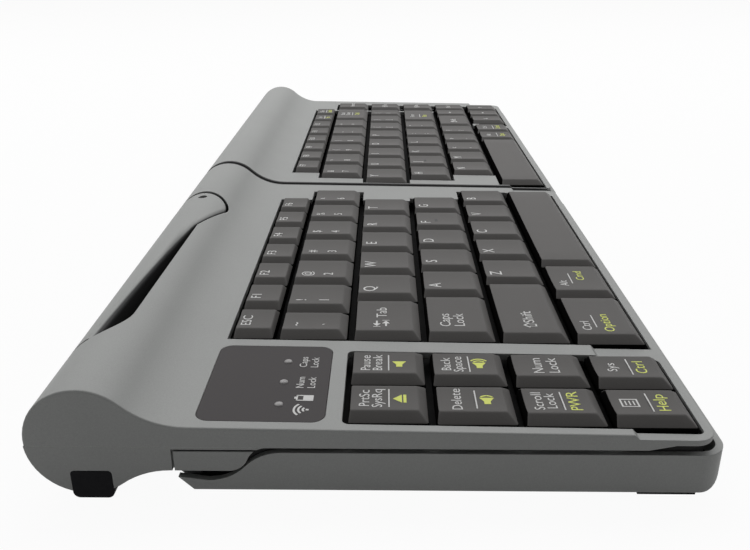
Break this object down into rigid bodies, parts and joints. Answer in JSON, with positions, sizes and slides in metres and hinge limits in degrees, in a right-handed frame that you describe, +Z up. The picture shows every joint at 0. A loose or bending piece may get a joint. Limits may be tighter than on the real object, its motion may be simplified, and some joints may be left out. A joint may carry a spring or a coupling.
{
  "type": "split keyboard",
  "caption": "Portable split keyboard: two halves on a lockable knuckle in a round rear tube, sprung keys and hinged bottom lids.",
  "frame": {"origin": "middle of the outline, on the table", "axes": "+X along the keyboard to the typist's right, +Y from the typist to the rear tube, +Z up"},
  "size_m": [0.366, 0.1494, 0.0267],
  "materials": {
    "case_silver": "satin silver-grey paint on plastic",
    "key_grey": "matt dark warm grey",
    "plate_dark": "satin dark grey label plate",
    "lens": "pale lamp lens",
    "rubber_black": "black rubber",
    "sheet_black": "black coated sheet",
    "steel": "plain steel",
    "membrane": "pale silicone sheet",
    "knuckle_metal": "cast metal",
    "board_green": "circuit board",
    "cell": "dry cell"
  },
  "bodies": {
    "left_half": {"left_top_case": "case_silver", "left_bottom_case": "case_silver", "left_key_plate": "sheet_black", "left_membrane": "membrane", "left_case_screws": "steel", "left_tube_feet": "rubber_black", "left_lid_pins": "steel", "left_yoke": "knuckle_metal", "splay_pin": "steel", "left_circuit_board": "board_green", "indicator_plate": "plate_dark", "indicator_lenses": "lens"},
    "knuckle": {"joint_link": "knuckle_metal"},
    "right_half": {"right_top_case": "case_silver", "right_bottom_case": "case_silver", "right_key_plate": "sheet_black", "right_membrane": "membrane", "right_case_screws": "steel", "right_tube_feet": "rubber_black", "right_lid_pins": "steel", "right_yoke": "knuckle_metal", "tent_pin": "steel", "right_circuit_board": "board_green", "battery_cells": "cell", "battery_contacts": "steel", "battery_door": "case_silver"},
    "lever": {"lock_lever": "case_silver", "lever_ring": "steel"},
    "brake": {"brake_rod": "steel"},
    "left_flap": {"left_lid": "case_silver", "left_lid_feet": "rubber_black"},
    "right_flap": {"right_lid": "case_silver", "right_lid_feet": "rubber_black"},
    "key_escape": {"key_escape": "key_grey"},
    "keys_function_left": {"keys_function_left": "key_grey"},
    "key_grave": {"key_grave": "key_grey"},
    "keys_number_left": {"keys_number_left": "key_grey"},
    "key_tab": {"key_tab": "key_grey"},
    "keys_upper_left": {"keys_upper_left": "key_grey"},
    "key_caps_lock": {"key_caps_lock": "key_grey"},
    "keys_home_left": {"keys_home_left": "key_grey"},
    "key_shift_left": {"key_shift_left": "key_grey"},
    "keys_lower_left": {"keys_lower_left": "key_grey"},
    "key_control_left": {"key_control_left": "key_grey"},
    "key_alt_left": {"key_alt_left": "key_grey"},
    "key_space_left": {"key_space_left": "key_grey"},
    "keys_end_outer": {"keys_end_outer": "key_grey"},
    "keys_end_inner": {"keys_end_inner": "key_grey"},
    "keys_function_right": {"keys_function_right": "key_grey"},
    "keys_number_right": {"keys_number_right": "key_grey"},
    "key_backspace": {"key_backspace": "key_grey"},
    "keys_upper_right": {"keys_upper_right": "key_grey"},
    "keys_home_right": {"keys_home_right": "key_grey"},
    "key_enter": {"key_enter": "key_grey"},
    "keys_lower_right": {"keys_lower_right": "key_grey"},
    "key_shift_right": {"key_shift_right": "key_grey"},
    "key_space_right": {"key_space_right": "key_grey"},
    "keys_modifier_right": {"keys_modifier_right": "key_grey"},
    "keys_arrow": {"keys_arrow": "key_grey"},
    "keys_far_column": {"keys_far_column": "key_grey"}
  },
  "joints": [
    {"name": "splay", "type": "hinge", "parent": "left_half", "child": "knuckle", "pos_m": [0, 0.069, 0.01395], "axis": [0, 0, 1], "range_deg": [0, 30]},
    {"name": "tent", "type": "hinge", "parent": "knuckle", "child": "right_half", "pos_m": [0, 0.062, 0.007], "axis": [0, 1, 0], "range_deg": [0, 17]},
    {"name": "lever_swing", "type": "hinge", "parent": "left_half", "child": "lever", "pos_m": [-0.0538, 0.0662, 0.015], "axis": [0, 0, -1], "range_deg": [0, 40]},
    {"name": "brake_slide", "type": "slide", "parent": "left_half", "child": "brake", "axis": [-1, 0, 0], "range_m": [0, 0.0014]},
    {"name": "left_lid_hinge", "type": "hinge", "parent": "left_half", "child": "left_flap", "pos_m": [-0.0915, 0.0402, 0.0046], "axis": [1, 0, 0], "range_deg": [0, 70]},
    {"name": "right_lid_hinge", "type": "hinge", "parent": "right_half", "child": "right_flap", "pos_m": [0.0915, 0.0402, 0.0046], "axis": [1, 0, 0], "range_deg": [0, 70]},
    {"name": "key_escape_press", "type": "slide", "parent": "left_half", "child": "key_escape", "axis": [0, 0, -1], "range_m": [0, 0.002], "stiffness_N_per_m": 150, "springref_m": -0.002},
    {"name": "keys_function_left_press", "type": "slide", "parent": "left_half", "child": "keys_function_left", "axis": [0, 0, -1], "range_m": [0, 0.002], "stiffness_N_per_m": 900, "springref_m": -0.002},
    {"name": "key_grave_press", "type": "slide", "parent": "left_half", "child": "key_grave", "axis": [0, 0, -1], "range_m": [0, 0.002], "stiffness_N_per_m": 150, "springref_m": -0.002},
    {"name": "keys_number_left_press", "type": "slide", "parent": "left_half", "child": "keys_number_left", "axis": [0, 0, -1], "range_m": [0, 0.002], "stiffness_N_per_m": 900, "springref_m": -0.002},
    {"name": "key_tab_press", "type": "slide", "parent": "left_half", "child": "key_tab", "axis": [0, 0, -1], "range_m": [0, 0.002], "stiffness_N_per_m": 150, "springref_m": -0.002},
    {"name": "keys_upper_left_press", "type": "slide", "parent": "left_half", "child": "keys_upper_left", "axis": [0, 0, -1], "range_m": [0, 0.002], "stiffness_N_per_m": 750, "springref_m": -0.002},
    {"name": "key_caps_lock_press", "type": "slide", "parent": "left_half", "child": "key_caps_lock", "axis": [0, 0, -1], "range_m": [0, 0.002], "stiffness_N_per_m": 150, "springref_m": -0.002},
    {"name": "keys_home_left_press", "type": "slide", "parent": "left_half", "child": "keys_home_left", "axis": [0, 0, -1], "range_m": [0, 0.002], "stiffness_N_per_m": 750, "springref_m": -0.002},
    {"name": "key_shift_left_press", "type": "slide", "parent": "left_half", "child": "key_shift_left", "axis": [0, 0, -1], "range_m": [0, 0.002], "stiffness_N_per_m": 150, "springref_m": -0.002},
    {"name": "keys_lower_left_press", "type": "slide", "parent": "left_half", "child": "keys_lower_left", "axis": [0, 0, -1], "range_m": [0, 0.002], "stiffness_N_per_m": 750, "springref_m": -0.002},
    {"name": "key_control_left_press", "type": "slide", "parent": "left_half", "child": "key_control_left", "axis": [0, 0, -1], "range_m": [0, 0.002], "stiffness_N_per_m": 150, "springref_m": -0.002},
    {"name": "key_alt_left_press", "type": "slide", "parent": "left_half", "child": "key_alt_left", "axis": [0, 0, -1], "range_m": [0, 0.002], "stiffness_N_per_m": 150, "springref_m": -0.002},
    {"name": "key_space_left_press", "type": "slide", "parent": "left_half", "child": "key_space_left", "axis": [0, 0, -1], "range_m": [0, 0.002], "stiffness_N_per_m": 150, "springref_m": -0.002},
    {"name": "keys_end_outer_press", "type": "slide", "parent": "left_half", "child": "keys_end_outer", "axis": [0, 0, -1], "range_m": [0, 0.002], "stiffness_N_per_m": 600, "springref_m": -0.002},
    {"name": "keys_end_inner_press", "type": "slide", "parent": "left_half", "child": "keys_end_inner", "axis": [0, 0, -1], "range_m": [0, 0.002], "stiffness_N_per_m": 600, "springref_m": -0.002},
    {"name": "keys_function_right_press", "type": "slide", "parent": "right_half", "child": "keys_function_right", "axis": [0, 0, -1], "range_m": [0, 0.002], "stiffness_N_per_m": 1200, "springref_m": -0.002},
    {"name": "keys_number_right_press", "type": "slide", "parent": "right_half", "child": "keys_number_right", "axis": [0, 0, -1], "range_m": [0, 0.002], "stiffness_N_per_m": 900, "springref_m": -0.002},
    {"name": "key_backspace_press", "type": "slide", "parent": "right_half", "child": "key_backspace", "axis": [0, 0, -1], "range_m": [0, 0.002], "stiffness_N_per_m": 150, "springref_m": -0.002},
    {"name": "keys_upper_right_press", "type": "slide", "parent": "right_half", "child": "keys_upper_right", "axis": [0, 0, -1], "range_m": [0, 0.002], "stiffness_N_per_m": 1200, "springref_m": -0.002},
    {"name": "keys_home_right_press", "type": "slide", "parent": "right_half", "child": "keys_home_right", "axis": [0, 0, -1], "range_m": [0, 0.002], "stiffness_N_per_m": 900, "springref_m": -0.002},
    {"name": "key_enter_press", "type": "slide", "parent": "right_half", "child": "key_enter", "axis": [0, 0, -1], "range_m": [0, 0.002], "stiffness_N_per_m": 150, "springref_m": -0.002},
    {"name": "keys_lower_right_press", "type": "slide", "parent": "right_half", "child": "keys_lower_right", "axis": [0, 0, -1], "range_m": [0, 0.002], "stiffness_N_per_m": 750, "springref_m": -0.002},
    {"name": "key_shift_right_press", "type": "slide", "parent": "right_half", "child": "key_shift_right", "axis": [0, 0, -1], "range_m": [0, 0.002], "stiffness_N_per_m": 150, "springref_m": -0.002},
    {"name": "key_space_right_press", "type": "slide", "parent": "right_half", "child": "key_space_right", "axis": [0, 0, -1], "range_m": [0, 0.002], "stiffness_N_per_m": 150, "springref_m": -0.002},
    {"name": "keys_modifier_right_press", "type": "slide", "parent": "right_half", "child": "keys_modifier_right", "axis": [0, 0, -1], "range_m": [0, 0.002], "stiffness_N_per_m": 300, "springref_m": -0.002},
    {"name": "keys_arrow_press", "type": "slide", "parent": "right_half", "child": "keys_arrow", "axis": [0, 0, -1], "range_m": [0, 0.002], "stiffness_N_per_m": 600, "springref_m": -0.002},
    {"name": "keys_far_column_press", "type": "slide", "parent": "right_half", "child": "keys_far_column", "axis": [0, 0, -1], "range_m": [0, 0.002], "stiffness_N_per_m": 600, "springref_m": -0.002}
  ],
  "couplings": [
    {"joint": "brake_slide", "follows": "lever_swing", "m_per_rad": 0.0018415}
  ]
}
